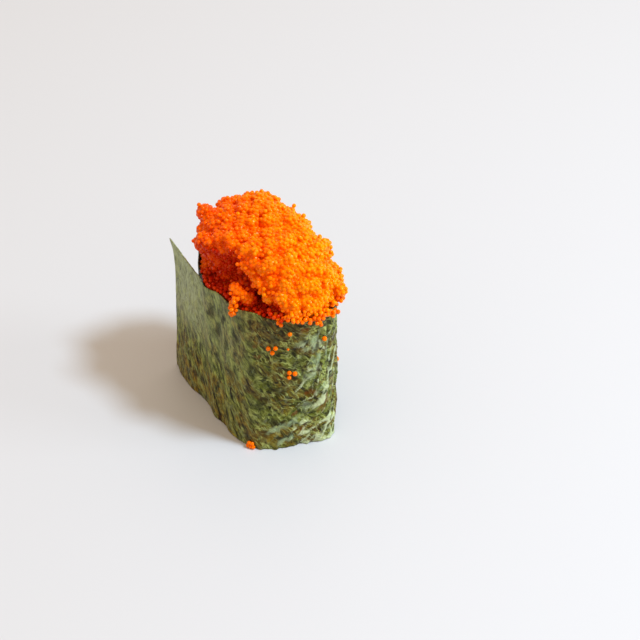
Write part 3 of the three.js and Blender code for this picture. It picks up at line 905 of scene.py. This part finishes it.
def patches(angle, height, shapes):
    """Soft patches on the outer lap of the strip: 1 in the middle of a patch."""
    share = np.zeros(len(angle))
    for at, up, reach_along, reach_across, lean in shapes:
        aside = (angle - at) * DEG * PATCH_RADIUS
        along, across = along_and_across(aside, height - up, lean)
        apart = np.hypot(along / reach_along, across / reach_across)
        share = np.maximum(share, hill(apart, 1))
    return share


def facing_out(length, level):
    """The way that the outer face of the strip looks."""
    run = strip_point(length + 0.2, level) - strip_point(length - 0.2, level)
    outward = np.stack([run[:, 1], -run[:, 0], 0 * length], -1)
    return outward / np.linalg.norm(outward, axis=1)[:, None]


def near_creases(length, height, angle):
    """The crests of the near face's creases, and the valleys beside them."""
    lean = between(*CREASE_LEANS, past(angle, *LEAN_ROUND) * past(height, *LEAN_UP))
    at, up = CREASE_ORIGIN
    aside = length - np.interp(at, STRIP_ANGLES, STRIP_LENGTHS)
    along, across = along_and_across(aside, height - up, lean)
    bent = across + relief(along, across, CREASE_BENDS)
    return ridges(along, bent, CREASES), ridges(along, bent, VALLEYS)


def sheet_relief(length, level, angle, near):
    """The dimples, fibres and folds of the sheet, without its creases."""
    height = level * BAND_HEIGHT
    upright = ridges(length, height, UPRIGHT_FOLDS)
    corner = hill(turn(FOLDED_CORNER, angle), FOLDED_SPREAD)
    push = relief(length, height, DIMPLES) * (1 - 0.4 * near)
    push += relief(length, height, FIBRES)
    push += CORNER_FOLD_DEPTH * corner * upright + FOLD_DEPTH * upright * (1 - near)
    fold = hill(turn(LONG_FOLD_AT, angle), LONG_FOLD_WIDTH) * past(level, 0.2, 0.3)
    return push - LONG_FOLD_DEPTH * fold


def frayed(points, length, level):
    """The points with an uneven rim and foot. None goes below the floor."""
    rim = relief(length, 0 * length, FRAYED_RIM) * level**FRAY_POWER
    foot = FOOT_FRAY * (1 + relief(length, 0 * length, FRAYED_FOOT))
    points[:, 2] += rim
    points[:, 2] += foot * (1 - level) ** FRAY_POWER
    points[:, 2] = np.maximum(points[:, 2], 0)
    return points


def add_fibre_map(mesh, length, height):
    """A map of the strip laid flat, in millimetres, which leans more away from its end."""
    lean = 0.10 + 0.5 * smooth(length / 38)
    fibre_map = np.stack([length + lean * height, height], -1)
    corner_of_loop = np.empty(len(mesh.loops), np.int32)
    mesh.loops.foreach_get("vertex_index", corner_of_loop)
    layer = mesh.uv_layers.new(name="fibre")
    layer.uv.foreach_set("vector", fibre_map[corner_of_loop].astype(np.float32).ravel())


def nori_strip(material):
    """The strip as one bent, crumpled sheet."""
    bm = bmesh.new()
    across, up = SHEET_CELLS
    bmesh.ops.create_grid(bm, x_segments=across, y_segments=up, size=0.5)
    flat = corners_of(bm)
    length = (flat[:, 0] + 0.5) * STRIP_LENGTHS[-1]
    level = flat[:, 1] + 0.5
    height = level * BAND_HEIGHT
    angle = strip_angle(length, level)

    inner_lap = past(angle, TUCK_START, TUCK_TURN)
    outer = 1 - 0.7 * inner_lap
    near = along_stretch(angle, *CRUMPLED)
    right = along_stretch(angle, *RIGHT_HALF)
    left = 1 - past(angle, 195, 45)
    low = 1 - past(level, 0.25, 0.75)
    wet = near * (0.45 + 0.55 * low)
    creases, valleys = near_creases(length, height, angle)
    push = sheet_relief(length, level, angle, near)
    push += wet * (CREASE_DEPTH * creases - VALLEY_DEPTH * valleys)
    push = push * outer - SHEET_INSET
    points = strip_point(length, level) + facing_out(length, level) * push[:, None]
    place_corners(bm, frayed(points, length, level))

    mesh = mesh_from(bm, "nori_strip")
    add_fibre_map(mesh, length, height)
    sheen_toward_free_end = 1 - 0.6 * past(length, 13, 9)
    # A painted warm reflection low on the left face, and browner under the rim.
    warm_reflection_low_left = (1 - past(level, 0.02, 0.4)) * (0.25 + 0.75 * left)
    under_rim = hill(turn(258, angle), 26) * past(level, 0.62, 0.3)
    pale_crests = right * (1 - 0.75 * past(angle, 289, 14))
    marks = {
        "near": along_stretch(angle, *WET_LOOKING),
        "smoothed": past(angle, 325, 40),
        # the inner lap, where shade is painted
        "tucked": inner_lap,
        "wet": wet,
        # where the sheen is painted: high on the left face, less beyond the free end
        "pale": left * sheen_toward_free_end * past(level, 0.35, 0.35),
        # painted warm reflection low on the left, and browner under the rim
        "warm": warm_reflection_low_left + under_rim,
        # where glints are painted: the crests of the near face's creases, on its right half
        "crest": creases * outer * pale_crests * (0.4 + 0.6 * low),
        # where shade is painted in the valleys of the creases
        "valley": valleys * outer * right,
        "rust": patches(angle, height, RUST_PATCHES),
        # where a wet sheen is painted
        "film": patches(angle, height, WET_SHEEN_PATCHES),
        # dark patches, and painted shade down the long fold
        "dark": patches(angle, height, DARK_PATCHES),
    }
    for name, share in marks.items():
        add_values(mesh, name, share)
    piece = dress(mesh, "nori_strip", "nori", material)
    sheet = piece.modifiers.new("sheet", "SOLIDIFY")
    sheet.thickness = SHEET * MM
    sheet.offset = -1


# ---- Roe ----

def normalized(vectors):
    return vectors / np.linalg.norm(vectors, axis=-1, keepdims=True)


def heap_core(inset):
    """The body of the heap, this far below its surface."""
    bm = bmesh.new()
    bmesh.ops.create_icosphere(bm, subdivisions=6, radius=1)
    toward = corners_of(bm) * np.sqrt([HALF_WIDTH, HALF_LENGTH, HEAP_RISE])
    toward = normalized(toward)
    radius = heap_radius(toward) - inset
    points = HEAP_MIDDLE + toward * radius[:, None]
    angle, flat, level = round_places(points)
    limit = inner_radius(angle, level) - CORE_GAP
    over_rim, ease = CORE_DRAWN_IN
    below = smooth((BAND_HEIGHT + over_rim - points[:, 2]) / ease)
    pulled = np.where(flat > limit, between(flat, limit, below), flat)
    place_corners(bm, on_circle(angle, pulled, points[:, 2]))
    return mesh_from(bm, "heap_core")


def clear_of_nori(points, gap):
    """Whether points keep a gap to the wall of the band, or stand above its rim."""
    angle, flat, level = round_places(points)
    over_lap = points[:, 2] > BAND_HEIGHT - LAP_DROP - RIM_WAVE + gap
    limit = np.where(
        over_lap, band_radius(angle, level) - LAP_DEPTH, inner_radius(angle, level))
    inside = flat < limit - gap
    outside = flat > band_radius(angle, level) + gap
    above = points[:, 2] > BAND_HEIGHT + RIM_WAVE + gap - 0.1
    return inside | outside | above


def spread_points(mesh, spacing, tries, rng):
    """Points over a mesh no closer than the spacing, with the way each one faces."""
    count = len(mesh.loop_triangles)
    corners = np.empty(count * 3, np.int32)
    mesh.loop_triangles.foreach_get("vertices", corners)
    a, b, c = places_of(mesh)[corners.reshape(-1, 3)].transpose(1, 0, 2) / MM
    normals = np.cross(b - a, c - a)
    areas = np.linalg.norm(normals, axis=1)
    normals /= areas[:, None]
    picks = rng.choice(count, tries, p=areas / areas.sum())
    s, t = rng.random((2, tries, 1))
    fold = s + t > 1
    s, t = np.where(fold, 1 - s, s), np.where(fold, 1 - t, t)
    points = a[picks] + s * (b - a)[picks] + t * (c - a)[picks]
    kept, cells = [], {}
    neighbours = [np.array(step) - 1 for step in np.ndindex(3, 3, 3)]
    for i, point in enumerate(points):
        cell = np.floor(point / spacing).astype(int)
        around = (tuple(cell + step) for step in neighbours)
        near = [cells[key] for key in around if key in cells]
        if near and min(((points[near] - point) ** 2).sum(1)) < spacing**2:
            continue
        cells[tuple(cell)] = i
        kept.append(i)
    return points[kept], normals[picks[kept]]


def rest_on(eggs, start, toward, contact):
    """Where an egg that moves from start first touches one of the eggs, or None."""
    apart = eggs - start
    along = apart @ toward
    beside = (apart**2).sum(1) - along**2
    hit = (beside < contact**2) & (along > 0)
    if not hit.any():
        return None
    travel = (along[hit] - np.sqrt(contact**2 - beside[hit])).min()
    return start + toward * travel


def spaced(points, spacing):
    """Which points keep a spacing to those that were kept before them."""
    kept = np.zeros(len(points), bool)
    for i, point in enumerate(points):
        kept[i] = (((points[kept] - point) ** 2).sum(1) > spacing**2).all()
    return kept


def drip_clumps():
    """The middles and the radii of the clumps that hang over the rim and the hollow."""
    angle, height, proud, radii = np.array(DRIP_CLUMPS).T
    return beside_wall(angle, height, proud), radii


def clump_balls(rng):
    """Round clumps that break up the surface, as in popped corn."""
    sites, facing = spread_points(heap_core(0), CLUMP_PITCH, CLUMP_TRIES, rng)
    radii = rng.uniform(*CLUMP_RADII, len(sites))
    lifts = rng.uniform(*CLUMP_TOPS, len(sites))
    centres = sites + facing * (lifts - radii)[:, None]
    kept = (centres[:, 2] > ROE_FLOOR) & clear_of_nori(centres, radii + EGG / 2)
    drips, drip_radii = drip_clumps()
    centres = np.vstack([centres[kept], drips])
    sizes = 2 * np.concatenate([radii[kept], drip_radii - EGG * DRIP_ALLOWANCE])
    return joined_copies("clumps", BALL_FORM, centres, sizes, rng)


def skin_eggs(body, rng):
    """Eggs half sunk in the body, side by side all over it."""
    spots, facing = spread_points(body, EGG_PITCH, SKIN_TRIES, rng)
    spots = spots + facing * rng.uniform(-SKIN_STRAY, SKIN_STRAY, (len(spots), 1))
    shown = spots[:, 2] > ROE_FLOOR - SKIN_BELOW_FLOOR
    return spots[shown & clear_of_nori(spots, EGG / 2 - EGG_BITE)]


def loose_eggs(body, skin, rng):
    """Single eggs dropped on the skin."""
    spots, facing = spread_points(body, LOOSE_PITCH, LOOSE_TRIES, rng)
    picked = (rng.random(len(spots)) < LOOSE_SHARE) & (spots[:, 2] > ROE_FLOOR)
    laid = []
    for spot, face in zip(spots[picked], facing[picked]):
        axis = normalized(face + LOOSE_TILT * rng.normal(size=3))
        found = rest_on(skin, spot + axis * DROP_HEIGHT, -axis, EGG * rng.uniform(*CONTACT))
        if found is not None:
            laid.append(found)
    laid = np.array(laid)
    return laid[clear_of_nori(laid, EGG / 2 - EGG_BITE)]


def string_eggs(rng):
    """Eggs in strings and drips over the rim of the nori."""
    eggs = []
    for points, count, stray in EGG_STRINGS:
        route = np.array([beside_wall(*point) for point in points])
        marks = path_lengths(route)
        at = np.linspace(0, marks[-1], count)
        line = np.stack([np.interp(at, marks, route[:, k]) for k in range(3)], -1)
        eggs.append(line + stray * (rng.random((count, 3)) - 0.5))
    return np.vstack(eggs)


def rim_eggs(rng):
    """Eggs that lie close against the wall, just below the rim."""
    angle = np.arange(*RIM_EGG_ANGLES, RIM_EGG_STEP)
    angle = np.concatenate([angle, angle + RIM_EGG_STEP / 2, angle])
    angle = angle + rng.uniform(-RIM_EGG_TURN, RIM_EGG_TURN, len(angle))
    inward = np.repeat(RIM_EGG_ROWS, len(angle) // len(RIM_EGG_ROWS))
    inward = inward + rng.uniform(-RIM_EGG_SHIFT, RIM_EGG_SHIFT, len(angle))
    height = rng.uniform(*RIM_EGG_HEIGHTS, len(angle))
    eggs = beside_wall(angle, height, -inward)
    return eggs[clear_of_nori(eggs, EGG / 2 - RIM_EGG_BITE)]


def fringe_eggs(rng):
    """Eggs heaped on the rim, where the roe bulges over it."""
    angle = rng.uniform(*FRINGE_ANGLES, FRINGE_COUNT)
    proud = rng.uniform(*FRINGE_PROUD, FRINGE_COUNT)
    height = rng.uniform(*FRINGE_HEIGHTS, FRINGE_COUNT)
    height = height + FRINGE_WAVE * np.sin(angle * FRINGE_WAVES_UP * DEG)
    proud = proud + FRINGE_WAVE * np.sin(angle * FRINGE_WAVES_OUT * DEG)
    eggs = beside_wall(angle, height, proud)
    return eggs[eggs[:, 2] > FRINGE_HEIGHTS[0]]


def painted_light_of(eggs):
    """Painted light and shade of each egg: shade in the hollows and between clumps, light
    on crests and to the right.
    """
    reach = np.linalg.norm(eggs - HEAP_MIDDLE, axis=1)
    above = np.empty(len(eggs))
    for i, egg in enumerate(eggs):
        near = ((eggs - egg) ** 2).sum(1) < SHADE_REACH**2
        above[i] = reach[i] - reach[near].mean()
    crest = np.clip(above / SHADE_HEIGHT, -1, 1)
    sideways = (eggs[:, 0] - MIDDLE[0]) / HALF_WIDTH
    endways = eggs[:, 1] / HALF_LENGTH
    plain = PLAIN_PAINTED_LIGHT + CREST_PAINTED_LIGHT * crest + RIGHT_PAINTED_LIGHT * sideways + FAR_PAINTED_LIGHT * endways

    # Painted shade in the hollows, up to a ragged edge, kept off the drip clumps.
    hollow = np.clip(hollow_share(normalized(eggs - HEAP_MIDDLE)) / FULL_HOLLOW, 0, 1)
    ragged = hollow + 0.5 * (lumps(eggs, RAGGED_SIZE) - 0.5)
    middles, radii = drip_clumps()
    beyond = (np.linalg.norm(eggs[:, None] - middles, axis=2) - radii).min(1)
    deep = past(ragged, *RAGGED_EDGE) * past(beyond, *CLUMP_EDGE)
    return between(plain, HOLLOW_PAINTED_SHADE + HOLLOW_CREST_PAINTED_LIGHT * crest, deep)


def nearest_value(points, places, values):
    """The value of the place that is closest to each point."""
    tree = kdtree.KDTree(len(places))
    for i, place in enumerate(places):
        tree.insert(place, i)
    tree.balance()
    return values[[tree.find(point)[1] for point in points]]


def roe_heap(material):
    """The heap: a core of lumps and clumps, with separate eggs all over it."""
    rng = np.random.default_rng(2024)
    bed = wall_lining("heap_bed", ROE_BOTTOM, ROE_FLOOR, 120, BED_GAP)
    body = fused("heap_body", [heap_core(CORE_INSET), bed, clump_balls(rng)], BODY_VOXEL)
    skin = skin_eggs(body, rng)
    groups = {
        "skin": skin, "loose": loose_eggs(body, skin, rng), "strings": string_eggs(rng),
        "rim": rim_eggs(rng), "fringe": fringe_eggs(rng)}
    eggs = np.vstack(list(groups.values()))
    group = np.repeat(list(groups), [len(members) for members in groups.values()])
    kept = spaced(eggs, EGG_SPACING)
    eggs, group = eggs[kept], group[kept]
    # The painted light and shade of each egg.
    glow = painted_light_of(eggs)
    # The strings get a fixed painted light, the eggs inside the rim painted shade.
    glow[group == "strings"] = STRING_PAINTED_LIGHT
    glow[group == "rim"] *= RIM_PAINTED_SHADE
    egg_painted_light = glow + rng.uniform(-EGG_TONE_SCATTER, EGG_TONE_SCATTER, len(eggs))
    egg_painted_light = np.clip(egg_painted_light, 0, 1)

    bump_sizes = np.full(len(skin), EGG * BUMP_SIZE)
    bumps = joined_copies("bumps", EGG_FORM, skin, bump_sizes, rng)
    core = fused("roe_core", [body, bumps], CORE_VOXEL)
    # The core takes the painted light of its nearest egg, a little lighter.
    core_painted_light = nearest_value(places_of(core) / MM, eggs, glow) + CORE_PAINTED_LIGHT
    add_values(core, "glow", np.clip(core_painted_light, 0, 1))
    dress(core, "roe_core", "roe", material)

    sizes = EGG * rng.normal(*EGG_SIZES, len(eggs))
    heights = np.quantile(eggs[:, 2], EGG_PARTINGS)
    for number, name in enumerate(EGG_PIECES):
        pick = np.searchsorted(heights, eggs[:, 2]) == number
        mesh = joined_copies(name, EGG_FORM, eggs[pick], sizes[pick], rng)
        add_values(mesh, "glow", egg_painted_light[pick])
        dress(mesh, name, "roe", material)


def stray_eggs(material):
    """Single eggs that stick to the outside of the nori."""
    rng = np.random.default_rng(7)
    angle, height, size = np.array(STRAY_EGGS).T
    places = beside_wall(angle, height, STRAY_PROUD * size)
    places[:, 2] = np.maximum(places[:, 2], size / 2)
    mesh = joined_copies("stray_eggs", EGG_FORM, places, size, rng)
    # Stray eggs get the same painted light as the strings.
    add_values(mesh, "glow", np.full(len(size), STRING_PAINTED_LIGHT))
    dress(mesh, "stray_eggs", "nori", material)


# ---- Rice ----

def grain_spots(rng):
    """Places for the grains of the underside that keep clear of the nori."""
    spots = []
    for row in GRAIN_ROWS:
        for column in GRAIN_COLUMNS:
            x = (column + (row % 2) / 2) * GRAIN_PITCH
            y = row * ROW_PITCH
            x, y = np.array([x, y]) + GRAIN_STRAY * (rng.random(2) - 0.5)
            room = inner_radius(math.atan2(y, x) / DEG, 0.0) - GRAIN[1] / 2
            if math.hypot(x, y) < room:
                spots.append((x + MIDDLE[0], y, rng.uniform(*GRAIN_HEIGHTS)))
    return spots


def pressed_grains(rng):
    """Grains of rice that lie every way and are flat where they meet the floor."""
    grains = bmesh.new()
    for x, y, z in grain_spots(rng):
        made = bmesh.ops.create_icosphere(grains, subdivisions=3, radius=0.5)["verts"]
        bmesh.ops.scale(grains, vec=GRAIN, verts=made)
        turned = rng.uniform(0, math.pi)
        c, s = math.cos(turned), math.sin(turned)
        for v in made:
            v.co = (x + c * v.co.x - s * v.co.y, y + s * v.co.x + c * v.co.y, z + v.co.z)
            v.co.z = max(v.co.z, 0)
    return mesh_from(grains, "grains")


def rice_bed(material):
    """The pressed bed, with whole grains pressed flat on its underside."""
    rng = np.random.default_rng(77)
    body = wall_lining("rice_body", RICE_FLOOR, RICE_TOP, 96, RICE_CLEARANCE)
    mesh = fused("rice_bed", [body, pressed_grains(rng)], RICE_VOXEL)
    dress(mesh, "rice_bed", "rice", material)


# ---- Stage ----

def stand(name, data, place, toward):
    """Puts a camera or a lamp at a place in metres and turns it that way."""
    made = new_object(name, data)
    made.location = place
    made.rotation_mode = "QUATERNION"
    made.rotation_quaternion = toward.to_track_quat("-Z", "Y")
    return made


def add_camera():
    back = Vector(direction(CAMERA_AZIMUTH - 90, 90 - CAMERA_ELEVATION))
    right = Vector(direction(CAMERA_AZIMUTH, 90))
    up = back.cross(right)
    half = FRAME_PIXELS / 2
    aim = Vector((0, 0, AIM_HEIGHT))
    aim += right * (half - AIM_PIXEL[0]) / PIXELS_PER_MM
    aim -= up * (half - AIM_PIXEL[1]) / PIXELS_PER_MM
    data = bpy.data.cameras.new("camera")
    data.sensor_width = SENSOR
    data.lens = SENSOR * FOCAL_PIXELS / FRAME_PIXELS
    data.clip_start = 0.01
    data.clip_end = 10
    place = (aim + back * FOCAL_PIXELS / PIXELS_PER_MM) * MM
    bpy.context.scene.camera = stand("camera", data, place, -back)


def add_light(name, place, size, power, colour):
    """A round lamp at a place in metres, turned to the sushi."""
    data = bpy.data.lights.new(name, "AREA")
    data.shape = "DISK"
    data.size = size
    data.energy = power
    data.color = colour
    stand(name, data, place, Vector((0, 0, 0.03)) - Vector(place))


def add_studio():
    """A pale floor, a cool key light, a window and a warm room."""
    bm = bmesh.new()
    bmesh.ops.create_circle(bm, cap_ends=True, segments=64, radius=FLOOR_RADIUS)
    mesh = mesh_from(bm, "floor")
    pale = Finish("pale floor", Base_Color=(0.63, 0.63, 0.63, 1), Roughness=0.45)
    mesh.materials.append(pale.material)
    new_object("floor", mesh)
    add_light("key", (0.357, -0.322, 0.763), 0.16, 7.6, (0.66, 0.82, 1.0))
    add_light("window", (0.82, -0.56, 0.30), 0.4, 4.2, (0.80, 0.91, 1.0))
    world = bpy.data.worlds.new("soft room")
    world.use_nodes = True
    background = world.node_tree.nodes["Background"]
    background.inputs["Color"].default_value = (1.0, 0.82, 0.66, 1)
    background.inputs["Strength"].default_value = 0.78
    bpy.context.scene.world = world
    bpy.context.scene.view_settings.view_transform = "Standard"


add_camera()
roe = roe_finish()
nori_strip(nori_finish())
roe_heap(roe)
stray_eggs(roe)
rice_bed(rice_finish())
add_studio()
